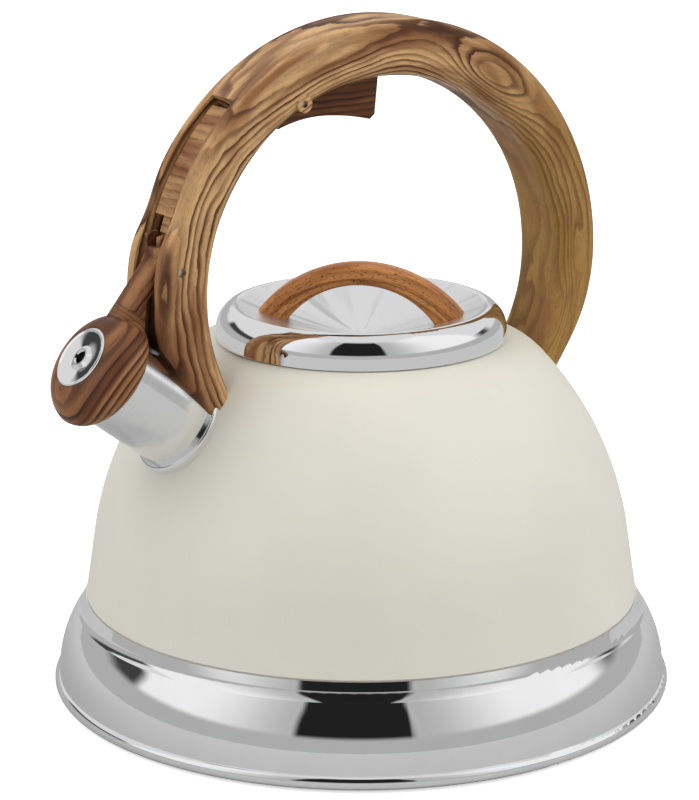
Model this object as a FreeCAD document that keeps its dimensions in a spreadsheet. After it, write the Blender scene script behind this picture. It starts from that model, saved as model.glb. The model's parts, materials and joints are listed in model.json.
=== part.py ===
import FreeCAD, Part
import math
import os
import Sketcher

# Stovetop whistling kettle, in millimetres.
# The origin is the centre of the bottom face, +Z is up, the spout points along -X,
# and the handle's arch, the trigger, the push rod and the whistle cap lie in the XZ plane.

doc = FreeCAD.newDocument("whistling_kettle")
sheet = doc.addObject("Spreadsheet::Sheet", "Sizes")

# A size that fits to another is a formula: the other size and a clearance or an offset.
SIZES = {
    # base
    "base_radius": 110.0, "bead_radius": 2.5, "bead_lift": 0.6, "sheet": 0.8,
    "skirt_foot_radius": "=base_radius - 1.7", "skirt_top_radius": "=skirt_foot_radius - 7.1",
    "skirt_top_height": 28.1, "skirt_bulge": 40.3, "skirt_fillet": 6.0,
    "lip_radius": "=lip_foot_radius - 1.1", "lip_foot_radius": "=skirt_top_radius - 1.8",
    "lip_foot_height": "=skirt_top_height + 3.2", "lip_height": "=lip_foot_height + 3.0",
    "floor_height": 4.4, "plate_radius": "=base_radius - 20.0", "plate_thickness": 0.8,
    # dome and its neck
    "collar_depth": 5.5, "collar_step": 0.5, "shoulder_radius": "=lip_radius - 3.6",
    "shoulder_height": "=lip_height + 22.5", "dome_bulge": 115.4,
    "dome_centre_offset": "=114.2 - shoulder_radius",
    "dome_centre_height": "=shoulder_height - 17.0", "crown_start": "=neck_radius + 21.0",
    "crown_bulge": 22.0, "neck_radius": 43.0, "neck_curl": 3.4, "neck_depth": 8.0,
    # spout
    "spout_seat_angle": 35.1, "spout_rise": 37.8, "spout_radius": 16.0, "spout_length": 36.0,
    "spout_root": 5.0, "collar_radius": "=spout_radius + 2.3", "collar_height": 1.1,
    "collar_root": 3.4,
    # lid
    "lid_radius": "=neck_radius + 7.9", "lid_gap": 0.35, "lid_band": 2.9, "lid_roll": 4.0,
    "lid_bulge": 9.5, "lid_turn": 57.0, "lid_dish": 150.0, "lid_dip": 11.6, "lid_lean": 22.8,
    "plug_gap": 0.4, "plug_depth": 9.0, "plug_corner": 3.0, "arch_radius": "=lid_radius - 5.2",
    "arch_bore": "=arch_radius - 13.8", "arch_depth": 7.5, "arch_width": 9.0, "arch_rise": 14.5,
    "arch_turn": 41.0, "arch_edge": 2.0, "groove_radius": "=arch_radius - 3.8",
    "groove_place": 5.2, "groove_width": 0.4, "groove_depth": 0.35,
    "arch_screw_place": "=arch_radius - 13.8", "arch_screw_lean": 18.5, "arch_screw_radius": 1.5,
    "arch_screw_length": 8.6, "arch_screw_head": 3.0, "arch_screw_head_height": 1.6,
    "washer_radius": 3.6, "washer_gap": 0.05,
    # handle
    "grip_centre_x": 3.5, "grip_centre_z": "=dome_centre_height + 107.7",
    "grip_radius": "=shoulder_radius - 4.4", "grip_width": 26.0, "grip_outer_edge": 4.0,
    "grip_inner_edge": 5.5, "slot_width": 14.0, "slot_floor": "=grip_radius - 13.0",
    "slot_low_floor": "=grip_radius - 9.8", "pocket_width": 18.0,
    "pocket_ceiling": "=grip_radius - 6.0", "tunnel_width": 12.0,
    "tail_ceiling": "=grip_radius - 14.3", "boss_radius": 2.9,
    "rear_tab_place": "=grip_radius - 11.3", "rear_screw_seat": "=grip_radius - 5.8",
    # directions round the handle's arch, in degrees from the rear
    "pocket_start": 90.6, "tunnel_start": 112.0, "pocket_end": 124.5, "tail_end": 130.2,
    "slot_start": 131.0, "slot_step": 176.5, "slot_end": 216.0, "front_tab_start": 180.5,
    "front_tab_end": 202.0, "front_screw_angle": 187.0, "rear_tab_start": -40.0,
    "rear_tab_end": -8.0, "rear_screw_angle": -14.0, "rod_step": 132.8, "rod_end": 159.5,
    "rod_neck_end": 163.2,
    # lever, trigger and rod
    "lever_pin_place": "=grip_radius - 5.3", "lever_pin_angle": 170.6, "lever_pin_radius": 1.5,
    "trigger_pin_place": "=grip_radius - 16.2", "trigger_pin_angle": 118.4,
    "trigger_pin_radius": 1.25, "pin_length": 24.0, "pin_play": 0.05, "contact_gap": 0.3,
    "trigger_width": 17.0, "horn_length": 8.0, "horn_width": 8.0, "horn_thickness": 3.0,
    "rod_width": 10.5, "rod_floor": "=slot_floor + 1.0", "rod_top": "=grip_radius - 2.1",
    "rod_thin_top": "=pocket_ceiling - 0.8", "finger_width": 4.5, "lever_width": 10.4,
    "lug_reach": 5.2, "lug_radius": 1.5, "fork_gap": 5.8, "fork_height": 11.6,
    # whistle cap
    "cap_rim": "=spout_length - 2.8", "cap_rim_radius": "=spout_radius + 2.0",
    "cap_bulge_place": "=cap_rim + 4.9", "cap_radius": "=spout_radius + 4.4",
    "cap_front": "=cap_rim + 13.2", "cap_play": 0.9, "disc_radius": "=spout_radius - 5.1",
    "disc_thickness": 0.7, "seal_gap": 0.2, "seal_thickness": 1.4,
    # screws and brackets
    "screw_radius": 2.0, "screw_head_radius": 3.7, "screw_head_height": 2.4,
    "screw_length": "=23.0 - spout_radius", "recess_length": 4.4, "recess_width": 0.9,
    "recess_depth": 1.2, "screw_hole_start": "=grip_radius - 15.8",
    "screw_hole_end": "=grip_radius - 3.3", "bracket_thickness": 1.5, "bracket_width": 10.0,
    "spring_radius": 3.0, "spring_wire": 0.35, "spring_turns": 5.0,
}


def write_sheet():
    """Put every dimension in the sheet under its own alias, the free ones and the tied ones."""
    for row, alias in enumerate(SIZES, start=1):
        sheet.set("A%d" % row, alias)
        sheet.setAlias("B%d" % row, alias)
    for row, entry in enumerate(SIZES.values(), start=1):
        sheet.set("B%d" % row, str(entry))
    doc.recompute()


class Size:
    """A number that also carries the sheet formula it comes from."""

    def __init__(self, number, formula):
        self.number = number
        self.formula = formula

    def __add__(self, other):
        other = as_size(other)
        return Size(self.number + other.number, "(%s + %s)" % (self.formula, other.formula))

    def __sub__(self, other):
        other = as_size(other)
        return Size(self.number - other.number, "(%s - %s)" % (self.formula, other.formula))

    def __mul__(self, other):
        other = as_size(other)
        return Size(self.number * other.number, "(%s * %s)" % (self.formula, other.formula))

    def __truediv__(self, other):
        other = as_size(other)
        return Size(self.number / other.number, "(%s / %s)" % (self.formula, other.formula))

    def __radd__(self, other):
        return as_size(other) + self

    def __rsub__(self, other):
        return as_size(other) - self

    def __rmul__(self, other):
        return as_size(other) * self

    def __neg__(self):
        return Size(-self.number, "(0 - %s)" % self.formula)


def as_size(thing):
    return thing if isinstance(thing, Size) else Size(float(thing), "(%r)" % float(thing))


def root(size):
    return Size(math.sqrt(size.number), "sqrt(%s)" % size.formula)


def sine(angle):
    return Size(math.sin(math.radians(angle.number)), "sin(%s * 1 deg)" % angle.formula)


def cosine(angle):
    return Size(math.cos(math.radians(angle.number)), "cos(%s * 1 deg)" % angle.formula)


def read(alias):
    return Size(float(sheet.get(alias)), "Sizes." + alias)


write_sheet()
D = {alias: read(alias) for alias in SIZES}


# ---------------------------------------------------------------- drawing helpers

def bind(item, name, size):
    """Give a property its number and tie it to the sheet."""
    size = as_size(size)
    item.setExpression(name, size.formula)


def place(item, x=0, y=0, z=0, rotation=None):
    """Set an object's place, tied to the sheet where the place is a formula."""
    spot = [as_size(v) for v in (x, y, z)]
    turn = rotation or FreeCAD.Rotation()
    item.Placement = FreeCAD.Placement(FreeCAD.Vector(*[v.number for v in spot]), turn)
    for axis, value in zip("xyz", spot):
        bind(item, "Placement.Base." + axis, value)
    return item


def new_body(name):
    return doc.addObject("PartDesign::Body", name)


def plane_of(body, role):
    return [item for item in body.Origin.OriginFeatures if item.Role == role][0]


def draw(body, name, start, steps, role="XZ_Plane"):
    """Sketch a closed outline: steps are (end,) for a line, (end, radius, side) for an arc.

    Side is +1 when the arc bulges to the left of its run from start to end, -1 to the right.
    """
    sketch = body.newObject("Sketcher::SketchObject", name)
    sketch.AttachmentSupport = (plane_of(body, role), [""])
    sketch.MapMode = "FlatFace"
    here = tuple(as_size(v) for v in start)
    corners = [here]
    for step in steps:
        end = tuple(as_size(v) for v in step[0])
        a = FreeCAD.Vector(here[0].number, here[1].number, 0)
        b = FreeCAD.Vector(end[0].number, end[1].number, 0)
        if len(step) == 1:
            sketch.addGeometry(Part.LineSegment(a, b), False)
        else:
            sketch.addGeometry(arc_between(a, b, as_size(step[1]).number, step[2]), False)
        corners.append(end)
        here = end
    tie_corners(sketch, corners, steps)
    doc.recompute()
    return sketch


def arc_between(a, b, radius, side):
    """The arc from a to b of a given radius, through the point that bulges to one side."""
    half = (b - a) * 0.5
    left = FreeCAD.Vector(-half.y, half.x, 0)
    left.normalize()
    rise = radius - math.sqrt(max(radius ** 2 - half.Length ** 2, 0.0))
    middle = a + half + left * (rise * side)
    return Part.Arc(a, middle, b)


def tie_corners(sketch, corners, steps):
    """Tie every corner and every radius of a sketch to the sheet."""
    count = len(steps)
    for index, step in enumerate(steps):
        radius_given = len(step) > 1
        # Part.Arc keeps its own sense, so the end that matches the corner is looked up
        start_tip = tip_at(sketch, index, corners[index])
        for axis, kind in ((0, "DistanceX"), (1, "DistanceY")):
            value = corners[index][axis]
            number = sketch.addConstraint(
                Sketcher.Constraint(kind, -1, 1, index, start_tip, value.number))
            sketch.setExpression("Constraints[%d]" % number, value.formula)
        if radius_given:
            size = as_size(step[1])
            number = sketch.addConstraint(Sketcher.Constraint("Radius", index, size.number))
            sketch.setExpression("Constraints[%d]" % number, size.formula)
    for index in range(count):
        following = (index + 1) % count
        sketch.addConstraint(Sketcher.Constraint(
            "Coincident", index, 3 - tip_at(sketch, index, corners[index]),
            following, tip_at(sketch, following, corners[following])))


def tip_at(sketch, index, corner):
    """Which end of a sketch's curve lies on a corner: 1 for its start, 2 for its end."""
    spot = FreeCAD.Vector(corner[0].number, corner[1].number, 0)
    first = sketch.getPoint(index, 1)
    second = sketch.getPoint(index, 2)
    return 1 if (first - spot).Length <= (second - spot).Length else 2


def revolve(body, sketch, name="turned"):
    turned = body.newObject("PartDesign::Revolution", name)
    turned.Profile = sketch
    turned.ReferenceAxis = (sketch, ["V_Axis"])
    turned.Angle = 360
    doc.recompute()
    return turned


def pad(body, sketch, width, name="pad"):
    """Pad a sketch by a width, half to each side of its plane."""
    padded = body.newObject("PartDesign::Pad", name)
    padded.Profile = sketch
    padded.SideType = "Symmetric"
    bind(padded, "Length", width)
    doc.recompute()
    return padded


def round_edges(body, base, radius, chosen, name="rounded"):
    """Round the edges of a feature for which chosen(edge) holds."""
    names = ["Edge%d" % (i + 1) for i, edge in enumerate(base.Shape.Edges) if chosen(edge)]
    rounded = body.newObject("PartDesign::Fillet", name)
    rounded.Base = (base, names)
    bind(rounded, "Radius", radius)
    body.Tip = rounded
    doc.recompute()
    return rounded


def turned_body(name, start, steps):
    body = new_body(name)
    revolve(body, draw(body, name + "_outline", start, steps), name + "_turned")
    return body


def cylinder(name, radius, height):
    item = doc.addObject("Part::Cylinder", name)
    bind(item, "Radius", radius)
    bind(item, "Height", height)
    return item


def fuse(name, items):
    joined = doc.addObject("Part::MultiFuse", name)
    joined.Shapes = items
    joined.Refine = True
    doc.recompute()
    return joined


def cut(name, base, tools):
    """Take one or more tools away from a base."""
    result = doc.addObject("Part::Cut", name)
    result.Base = base
    result.Tool = tools[0] if len(tools) == 1 else fuse(name + "_tools", tools)
    result.Refine = True
    doc.recompute()
    return result


def group(name, items):
    grouped = doc.addObject("Part::Compound", name)
    grouped.Links = items
    doc.recompute()
    return grouped


# ---------------------------------------------------------------- shared geometry

Y_AXIS = FreeCAD.Vector(0, 1, 0)
Z_AXIS = FreeCAD.Vector(0, 0, 1)
ACROSS = FreeCAD.Rotation(FreeCAD.Vector(1, 0, 0), 90)

# the spout's axis leaves the dome at its seat and rises towards -X
seat_x = D["dome_centre_offset"] - D["dome_bulge"] * cosine(D["spout_seat_angle"])
seat_z = D["dome_centre_height"] + D["dome_bulge"] * sine(D["spout_seat_angle"])
ALONG_SPOUT = FreeCAD.Rotation(Y_AXIS, D["spout_rise"].number - 90)

# the dome's crown is a tighter arc, tangent to the dome's own arc, that ends level
crown_run = D["crown_start"] + D["dome_centre_offset"]
crown_climb = root(D["dome_bulge"] * D["dome_bulge"] - crown_run * crown_run)
crown_share = D["crown_bulge"] / D["dome_bulge"]
crown_x = D["crown_start"] - crown_run * crown_share
crown_z = D["dome_centre_height"] + crown_climb * (1 - crown_share)
crown_top = crown_z + D["crown_bulge"]

# the neck's curl turns down from the level top
curl_x = D["neck_radius"] + D["neck_curl"]
curl_z = crown_top - D["neck_curl"]


def dome_height(radius):
    """Height of the dome's outer surface at a distance from the kettle's axis."""
    radius = as_size(radius)
    if radius.number <= crown_x.number:
        return crown_top
    if radius.number <= D["crown_start"].number:
        run = radius - crown_x
        return crown_z + root(D["crown_bulge"] * D["crown_bulge"] - run * run)
    run = radius + D["dome_centre_offset"]
    return D["dome_centre_height"] + root(D["dome_bulge"] * D["dome_bulge"] - run * run)


def on_grip(radius, degrees):
    """A point by its distance and direction from the centre of the handle's arch."""
    radius, degrees = as_size(radius), as_size(degrees)
    return (D["grip_centre_x"] + radius * cosine(degrees),
            D["grip_centre_z"] + radius * sine(degrees))


def on_spout(along, up):
    """A point by its distance along the spout's axis and above it, as x and z."""
    along, up = as_size(along), as_size(up)
    rise = D["spout_rise"]
    return (seat_x - along * cosine(rise) + up * sine(rise),
            seat_z + along * sine(rise) + up * cosine(rise))


def sector(name, inner, outer, width, start, end):
    """A ring piece about the handle's centre, between two directions in degrees."""
    parts = []
    start, end = as_size(start), as_size(end)
    for label, radius in (("outer", outer), ("inner", inner)):
        disc = cylinder("%s_%s" % (name, label), radius, width)
        if label == "outer":
            bind(disc, "Angle", end - start)
        turn = FreeCAD.Rotation(Y_AXIS, -start.number).multiply(ACROSS)
        place(disc, D["grip_centre_x"], as_size(width) / 2, D["grip_centre_z"], turn)
        parts.append(disc)
    return cut(name, parts[0], [parts[1]])


def cross_bar(name, radius, length, x, z):
    """A round bar that lies across the kettle, along Y."""
    bar = cylinder(name, radius, length)
    return place(bar, x, as_size(length) / 2, z, ACROSS)


def spout_bar(name, radius, start, end):
    """A round bar along the spout's axis."""
    bar = cylinder(name, radius, as_size(end) - start)
    x, z = on_spout(start, 0)
    return place(bar, x, 0, z, ALONG_SPOUT)


# ---------------------------------------------------------------- base

def make_base_skirt():
    """Flared mirror skirt: sloping lip, hollow fillet, bulging wall and rolled bead."""
    t = D["sheet"]
    bead_x = D["base_radius"] - D["bead_radius"]
    bead_z = D["bead_radius"] + D["bead_lift"]
    foot = (D["skirt_foot_radius"], bead_z + 1.2)
    top = (D["skirt_top_radius"], D["skirt_top_height"])
    lip = (D["lip_foot_radius"], D["lip_foot_height"])
    body = new_body("base_skirt_body")
    wall = draw(body, "skirt_wall", foot, [
        (top, D["skirt_bulge"], -1),
        (lip, D["skirt_fillet"], 1),
        ((D["lip_radius"], D["lip_height"]),),
        ((D["lip_radius"] - t, D["lip_height"]),),
        ((D["lip_radius"] - t, D["lip_foot_height"] - 0.3),),
        ((D["skirt_top_radius"] - t * 0.9, D["skirt_top_height"] - 0.5), D["skirt_fillet"] + t, -1),
        ((D["skirt_foot_radius"] - t, bead_z + 1.2), D["skirt_bulge"] - t, 1),
        (foot,),
    ])
    revolve(body, wall, "skirt_turned")
    mouth = 0.55
    outer, inner = D["bead_radius"], D["bead_radius"] - t
    reach_out = root(outer * outer - mouth * mouth)
    reach_in = root(inner * inner - mouth * mouth)
    roll = draw(body, "bead_roll", (bead_x - reach_out, bead_z + mouth), [
        ((bead_x, bead_z + outer), outer, 1),
        ((bead_x + outer, bead_z), outer, 1),
        ((bead_x, bead_z - outer), outer, 1),
        ((bead_x - reach_out, bead_z - mouth), outer, 1),
        ((bead_x - reach_in, bead_z - mouth),),
        ((bead_x, bead_z - inner), inner, -1),
        ((bead_x + inner, bead_z), inner, -1),
        ((bead_x, bead_z + inner), inner, -1),
        ((bead_x - reach_in, bead_z + mouth), inner, -1),
        ((bead_x - reach_out, bead_z + mouth),),
    ])
    revolve(body, roll, "bead_turned")
    return body


def make_floor_pan():
    """The kettle's floor, with a rim that the bead is rolled over."""
    t = D["sheet"]
    bead_x = D["base_radius"] - D["bead_radius"]
    bead_z = D["bead_radius"] + D["bead_lift"]
    rim = bead_x - D["bead_radius"] + 0.6
    low = bead_z - t / 2
    bend = D["plate_radius"] + 4
    floor = D["floor_height"]
    return turned_body("floor_pan_body", (0, floor), [
        ((bend, floor),),
        ((bend + 5, low),),
        ((rim, low),),
        ((rim, low + t),),
        ((bend + 5, low + t),),
        ((bend, floor + t),),
        ((0, floor + t),),
        ((0, floor),),
    ])


def make_heat_spreader():
    t = D["plate_thickness"]
    return turned_body("heat_spreader_body", (0, t), [
        ((D["plate_radius"] - 1.6, t),),
        ((D["plate_radius"] - 1.6, D["floor_height"]),),
        ((0, D["floor_height"]),),
        ((0, t),),
    ])


def make_base_plate():
    """Steel cup that covers the heat spreader and carries the kettle on its flat face."""
    t, edge = D["plate_thickness"], 1.5
    radius = D["plate_radius"]
    return turned_body("base_plate_body", (0, 0), [
        ((radius - edge, 0),),
        ((radius, edge), edge, -1),
        ((radius, D["floor_height"]),),
        ((radius - t, D["floor_height"]),),
        ((radius - t, edge),),
        ((radius - edge, t), edge - t, 1),
        ((0, t),),
        ((0, 0),),
    ])


# ---------------------------------------------------------------- body and spout

def dome_outline(wall):
    """The dome's outline, as a wall of some thickness."""
    collar = D["lip_radius"] - D["sheet"]
    foot = D["lip_height"] - D["collar_depth"]
    step = D["collar_step"]
    neck, curl = D["neck_radius"], D["neck_curl"]
    inner_bulge = D["dome_bulge"] - wall
    shrink = inner_bulge / D["dome_bulge"]
    crown_edge = (D["crown_start"], D["dome_centre_height"] + crown_climb)
    inner_crown_edge = (crown_run * shrink - D["dome_centre_offset"],
                        D["dome_centre_height"] + crown_climb * shrink)
    inner_shoulder = (D["shoulder_radius"] - wall, D["shoulder_height"] - wall * 0.15)
    bottom = curl_z - D["neck_depth"]
    return (collar, foot), [
        ((collar, D["lip_height"] + 0.1),),
        ((collar + step, D["lip_height"] + 0.6),),
        ((D["shoulder_radius"], D["shoulder_height"]),),
        (crown_edge, D["dome_bulge"], -1),
        ((crown_x, crown_top), D["crown_bulge"], -1),
        ((curl_x, crown_top),),
        ((neck, curl_z), curl, -1),
        ((neck, bottom),),
        ((neck + wall, bottom),),
        ((neck + wall, curl_z),),
        ((curl_x, crown_top - wall), curl - wall, 1),
        ((crown_x, crown_top - wall),),
        (inner_crown_edge, D["crown_bulge"] - wall, 1),
        (inner_shoulder, inner_bulge, 1),
        ((collar + step - wall, D["lip_height"] + 0.9),),
        ((collar - wall, D["lip_height"] + 0.3),),
        ((collar - wall, foot),),
        ((collar, foot),),
    ]


def make_dome():
    """The painted upper shell, with its turned-down neck and the spout's hole."""
    start, steps = dome_outline(D["sheet"])
    shell = turned_body("dome_shell", start, steps)
    hole = spout_bar("spout_hole", D["spout_radius"], -20, 8)
    return cut("dome_cut", shell, [hole])


def make_dome_envelope():
    """The dome as a filled solid, which trims whatever is seated on it."""
    collar = D["lip_radius"] - D["sheet"] + D["collar_step"]
    return turned_body("dome_envelope", (0, D["lip_height"]), [
        ((collar, D["lip_height"] + 0.6),),
        ((D["shoulder_radius"], D["shoulder_height"]),),
        ((D["crown_start"], D["dome_centre_height"] + crown_climb), D["dome_bulge"], -1),
        ((crown_x, crown_top), D["crown_bulge"], -1),
        ((0, crown_top),),
        ((0, D["lip_height"]),),
    ])


def make_spout():
    """Brushed tube that passes through the dome and ends in a plain mouth."""
    outer, inner = D["spout_radius"], D["spout_radius"] - D["sheet"]
    root_end, mouth = -D["spout_root"], D["spout_length"]
    body = turned_body("spout_body", (inner, root_end), [
        ((outer, root_end),),
        ((outer, mouth - 0.3),),
        ((outer - 0.3, mouth),),
        ((inner, mouth),),
        ((inner, root_end),),
    ])
    return place(body, seat_x, 0, seat_z, ALONG_SPOUT)


def make_spout_collar(envelope):
    """Rolled ring that covers the joint between the spout and the dome."""
    inner, outer = D["spout_radius"], D["collar_radius"]
    low, high = -D["collar_root"], D["collar_height"]
    body = turned_body("collar_blank", (inner, low), [
        ((outer, low),),
        ((outer, high - 1.0),),
        ((outer - 1.0, high), 1.0, -1),
        ((inner, high),),
        ((inner, low),),
    ])
    place(body, seat_x, 0, seat_z, ALONG_SPOUT)
    return cut("collar_cut", body, [envelope])


# ---------------------------------------------------------------- lid

def lid_point(radius):
    """Height of the lid's dished face at a distance from the axis, by its arc."""
    edge_x, edge_z, low_z = dish_ends()
    chord_x, chord_z = edge_x, edge_z - low_z
    half = root(chord_x * chord_x + chord_z * chord_z) / 2
    reach = root(D["lid_dish"] * D["lid_dish"] - half * half)
    centre_x = chord_x / 2 - reach * chord_z / (half * 2)
    centre_z = low_z + chord_z / 2 + reach * chord_x / (half * 2)
    run = as_size(radius) - centre_x
    return centre_z - root(D["lid_dish"] * D["lid_dish"] - run * run)


def dish_ends():
    """Outer edge of the dished face, and its height on the axis."""
    roll_x, roll_z = lid_roll_centre()
    edge_x = roll_x - D["lid_roll"] * sine(D["lid_lean"])
    edge_z = roll_z + D["lid_roll"] * cosine(D["lid_lean"])
    return edge_x, edge_z, edge_z - D["lid_dip"]


def lid_roll_centre():
    """Centre of the tight roll at the band's top, which is tangent to the band's own bulge."""
    step = D["lid_bulge"] - D["lid_roll"]
    return (D["lid_radius"] - D["lid_bulge"] + step * cosine(D["lid_turn"]),
            lid_lip_height() + D["lid_band"] + step * sine(D["lid_turn"]))


def under_edge(edge_x, edge_z):
    """Where the underside of the dished face ends, square below its outer edge."""
    return (edge_x + D["sheet"] * sine(D["lid_lean"]),
            edge_z - D["sheet"] * cosine(D["lid_lean"]))


def lid_lip_height():
    """The band's lower edge, just clear of the dome below its inner corner."""
    return dome_height(D["lid_radius"] - D["sheet"]) + D["lid_gap"]


def make_lid_cover():
    """Polished dished cover with a rounded band round its edge."""
    t = D["sheet"]
    radius, roll, bulge = D["lid_radius"], D["lid_roll"], D["lid_bulge"]
    lip_z = lid_lip_height()
    bulge_z = lip_z + D["lid_band"]
    roll_x, roll_z = lid_roll_centre()
    aside, up = cosine(D["lid_turn"]), sine(D["lid_turn"])
    edge_x, edge_z, low_z = dish_ends()
    return turned_body("lid_cover_body", (0, low_z), [
        ((edge_x, edge_z), D["lid_dish"], -1),
        ((roll_x, roll_z + roll), roll, 1),
        ((roll_x + roll * aside, roll_z + roll * up), roll, 1),
        ((radius, bulge_z), bulge, 1),
        ((radius, lip_z),),
        ((radius - t, lip_z),),
        ((radius - t, bulge_z),),
        ((roll_x + (roll - t) * aside, roll_z + (roll - t) * up), bulge - t, -1),
        ((roll_x, roll_z + roll - t), roll - t, -1),
        (under_edge(edge_x, edge_z), roll - t, -1),
        ((0, low_z - t), D["lid_dish"] + t, 1),
        ((0, low_z),),
    ])


def make_lid_plug(cover_tool):
    """Pan under the cover that fits inside the neck."""
    t = D["sheet"]
    wall = D["neck_radius"] - D["plug_gap"]
    top = lid_point(wall) + 1
    low = curl_z - D["plug_depth"]
    corner = D["plug_corner"]
    blank = turned_body("plug_blank", (0, low), [
        ((wall - corner, low),),
        ((wall, low + corner), corner, -1),
        ((wall, top),),
        ((wall - t, top),),
        ((wall - t, low + corner),),
        ((wall - corner, low + t), corner - t, 1),
        ((0, low + t),),
        ((0, low),),
    ])
    return cut("plug_cut", blank, [cover_tool])


def make_cover_tool():
    """Everything above the underside of the lid's dished face, inside its edge."""
    t = D["sheet"]
    edge_x, edge_z, low_z = dish_ends()
    under_x, under_z = under_edge(edge_x, edge_z)
    return turned_body("cover_tool", (0, low_z - t), [
        ((under_x, under_z), D["lid_dish"] + t, -1),
        ((under_x, under_z + 20),),
        ((0, under_z + 20),),
        ((0, low_z - t),),
    ])


def make_dish_tool():
    """Everything below the top of the lid's dished face, inside its edge."""
    edge_x, edge_z, low_z = dish_ends()
    return turned_body("dish_tool", (0, low_z), [
        ((edge_x, edge_z), D["lid_dish"], -1),
        ((edge_x, low_z - 20),),
        ((0, low_z - 20),),
        ((0, low_z),),
    ])


def arch_height():
    """Height of the centre of the arch's outer curve."""
    edge_z = dish_ends()[1]
    return edge_z + D["arch_rise"] - D["arch_radius"]


def arch_turn():
    return FreeCAD.Rotation(Z_AXIS, -D["arch_turn"].number)


def make_lid_handle(dish, screws):
    """Wood-effect arch, thicker towards its feet, whose ends are cut to the dished face."""
    body = new_body("arch_blank")
    outer, bore = D["arch_radius"], D["arch_bore"]
    raised = outer - D["arch_depth"] - bore
    # the feet end 1 mm inside the edge of the dished face
    foot_x = dish_ends()[0] - 1
    base = root(outer * outer - foot_x * foot_x)
    in_x = root(bore * bore - (base - raised) * (base - raised))
    sketch = draw(body, "arch_outline", (foot_x, base), [
        ((0, outer), outer, -1),
        ((-foot_x, base), outer, -1),
        ((-in_x, base),),
        ((0, raised + bore), bore, 1),
        ((in_x, base), bore, 1),
        ((foot_x, base),),
    ])
    padded = pad(body, sketch, D["arch_width"], "arch_pad")
    round_edges(body, padded, D["arch_edge"], is_long_arc, "arch_rounded")
    place(body, 0, 0, arch_height(), arch_turn())
    return cut("lid_handle_cut", body, [dish] + screws + arch_grooves())


def arch_grooves():
    """Ring tools that score one fine line along each flat side of the lid's arch."""
    centre = arch_height() + D["arch_radius"] - D["groove_place"] - D["groove_radius"]
    rings = []
    for side in (1, -1):
        name = "groove_%s" % ("left" if side > 0 else "right")
        rim = cylinder(name + "_outer", D["groove_radius"] + D["groove_width"] / 2,
                       D["groove_depth"] * 2)
        core = cylinder(name + "_inner", D["groove_radius"] - D["groove_width"] / 2,
                        D["groove_depth"] * 2)
        reach = D["arch_width"] * side / 2 + D["groove_depth"]
        across = -D["arch_turn"] + 90
        for disc in (rim, core):
            place(disc, reach * cosine(across), reach * sine(across), centre,
                  arch_turn().multiply(ACROSS))
        rings.append(cut(name, rim, [core]))
    return rings


def is_long_arc(edge):
    """True for the curved edges that run along an arch, not those across it."""
    return isinstance(edge.Curve, Part.Circle) and edge.Length > 20


def lid_screw_place(side):
    """Base point and turn of one of the two screws that hold the lid's arch."""
    spot = D["arch_screw_place"]
    degrees = -D["arch_turn"] + (0 if side > 0 else 180)
    along = FreeCAD.Rotation(Z_AXIS, degrees.number)
    turn = along.multiply(FreeCAD.Rotation(Y_AXIS, -D["arch_screw_lean"].number))
    height = lid_point(spot) - D["sheet"] / cosine(D["arch_screw_lean"]) - D["washer_gap"]
    return (spot * cosine(degrees), spot * sine(degrees), height), turn


def make_lid_screws():
    """Two screws and their washers, which come up through the cover into the arch."""
    shanks, heads, washers = [], [], []
    for side in (1, -1):
        spot, turn = lid_screw_place(side)
        name = "lid_screw_%s" % ("front" if side > 0 else "rear")
        low = below(spot, turn, D["sheet"] * 3)
        shank = place(cylinder(name + "_shank", D["arch_screw_radius"], D["arch_screw_length"]),
                      *low, turn)
        head = place(cylinder(name + "_head", D["arch_screw_head"], D["arch_screw_head_height"]),
                     *low, turn)
        ring = place(cylinder(name + "_ring", D["washer_radius"], D["sheet"]),
                     *below(spot, turn, D["sheet"]), turn)
        shanks.append(shank)
        heads.append(fuse(name + "_solid", [shank, head]))
        washers.append(cut(name + "_washer", ring, [shank]))
    return shanks, group("lid_screws_group", heads), group("lid_washers_group", washers)


def below(spot, turn, drop):
    """A point some way down a turned screw's own axis."""
    down = turn.multVec(FreeCAD.Vector(0, 0, -1))
    return [value + drop * step for value, step in zip(spot, (down.x, down.y, down.z))]


# ---------------------------------------------------------------- handle

# stations round the arch: direction in degrees, inner and outer distance from the arch's
# centre, and half of the width, from the rear foot over the top to the front foot
STATIONS = [
    (-36, 74.2, 85.1, 14.0), (-28, 74.3, 85.9, 13.8), (-20, 74.4, 88.0, 13.6),
    (-12, 74.4, 90.2, 13.3), (0, 74.2, 91.6, 13.1), (18, 73.7, 91.7, 13.0),
    (36, 72.9, 91.5, 13.0), (54, 71.9, 91.1, 13.0), (72, 71.0, 90.7, 13.0),
    (90, 70.8, 90.3, 13.0), (106, 71.2, 90.2, 13.0), (122, 71.9, 90.1, 13.0),
    (138, 72.2, 90.0, 13.0), (152, 72.4, 89.7, 13.0), (160, 72.5, 89.3, 13.1),
    (166, 72.5, 90.9, 13.4), (174, 72.4, 91.4, 13.6), (181, 72.2, 91.1, 13.8),
    (187, 72.1, 90.7, 14.1), (192, 72.0, 88.5, 14.5), (197, 72.0, 86.3, 15.0),
    (202, 72.3, 85.0, 15.3), (206, 72.7, 84.5, 15.4),
]
STATIONS_RADIUS, STATIONS_WIDTH = 90.3, 26.0


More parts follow.
